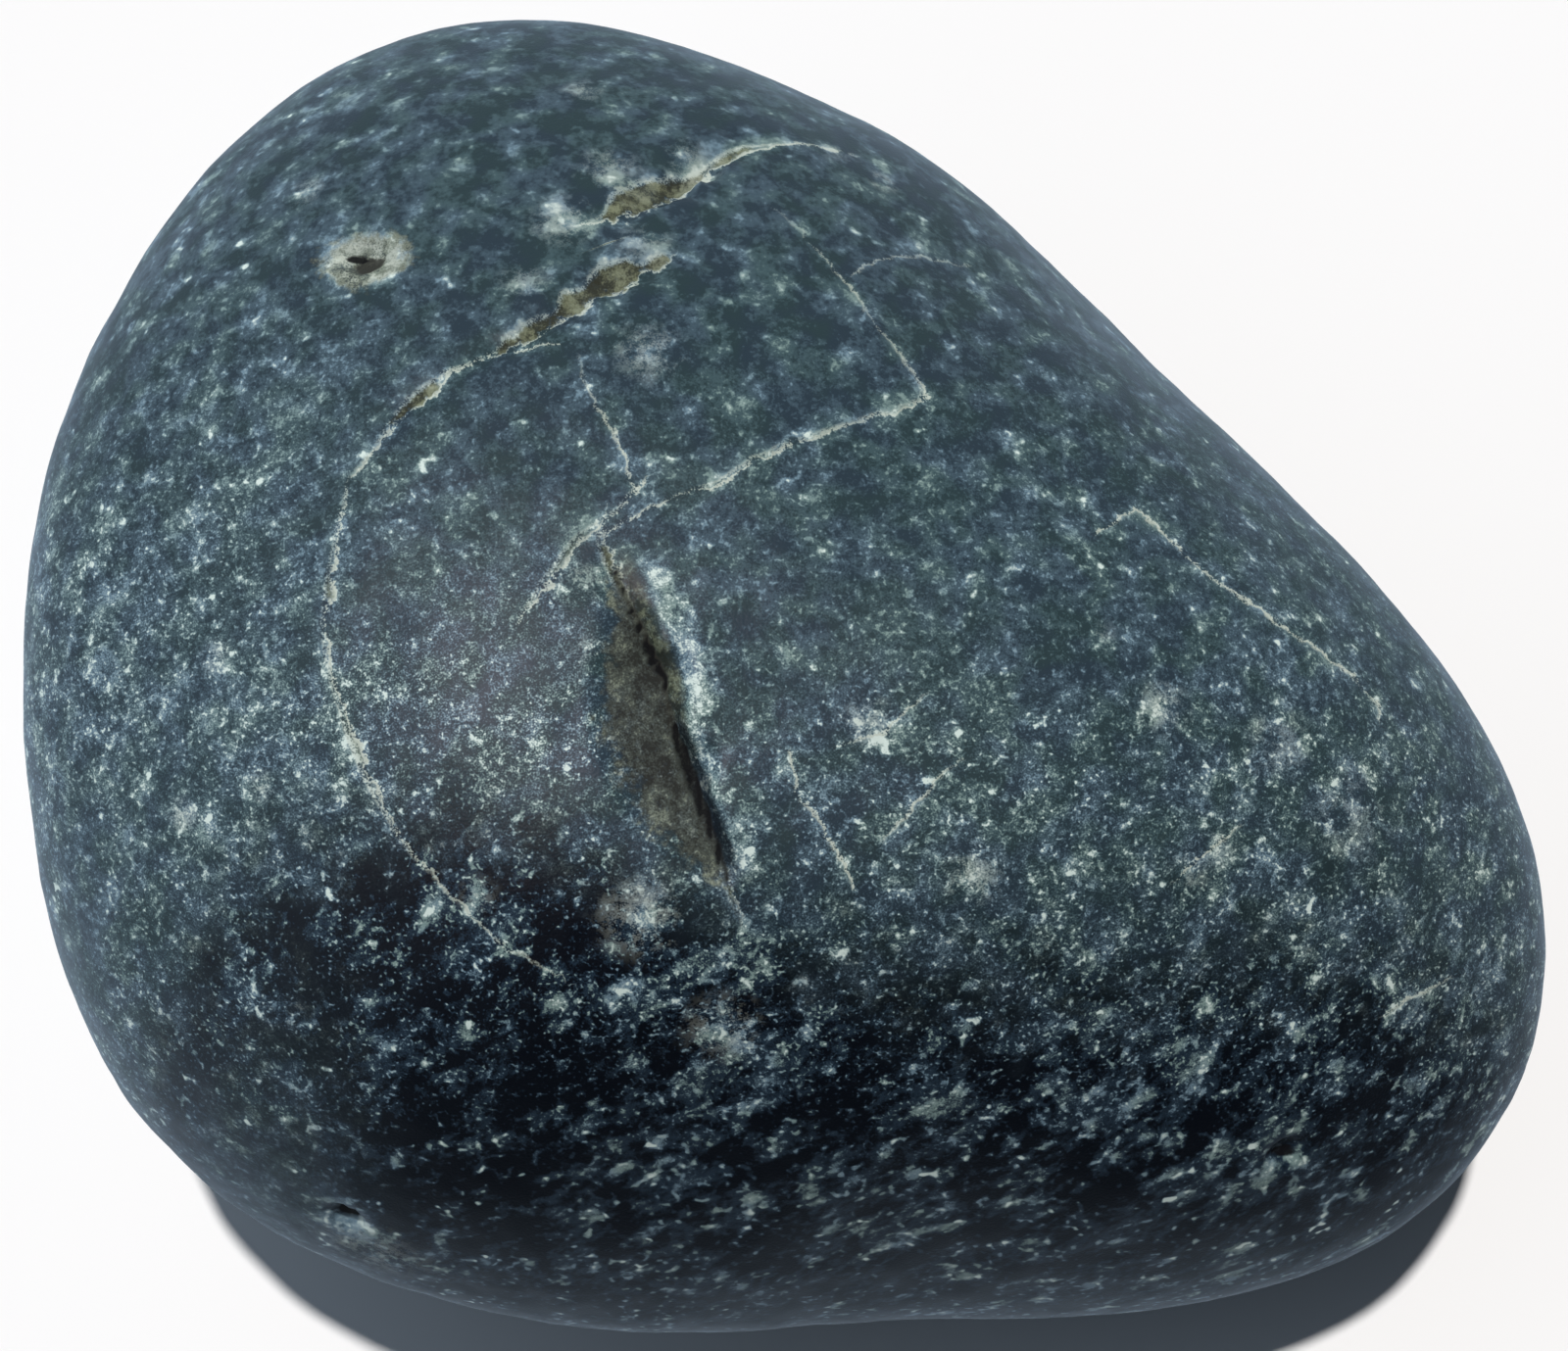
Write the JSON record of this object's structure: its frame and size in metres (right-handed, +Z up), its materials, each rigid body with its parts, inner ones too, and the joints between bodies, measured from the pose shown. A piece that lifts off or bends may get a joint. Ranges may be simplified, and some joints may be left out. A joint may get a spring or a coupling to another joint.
{
  "type": "nephrite jade specimen",
  "caption": "Waterworn cobble of dark blue-green nephrite jade, a rounded triangle in plan, with a gash, healed cracks, pale flecks and a small worn flat that it rests on.",
  "frame": {"origin": "middle of the cobble's box in plan, at the level of the flat that it rests on", "axes": "+X towards the cobble's narrow right end along its length, +Y towards its back, +Z up through its thickness"},
  "size_m": [0.075, 0.0664, 0.038],
  "materials": {
    "nephrite": "waterworn satin, dark blue-green with pale grey-green flecks, cream healed cracks and a brown-olive gash"
  },
  "bodies": {
    "root": {"cobble": "nephrite"}
  },
  "joints": []
}
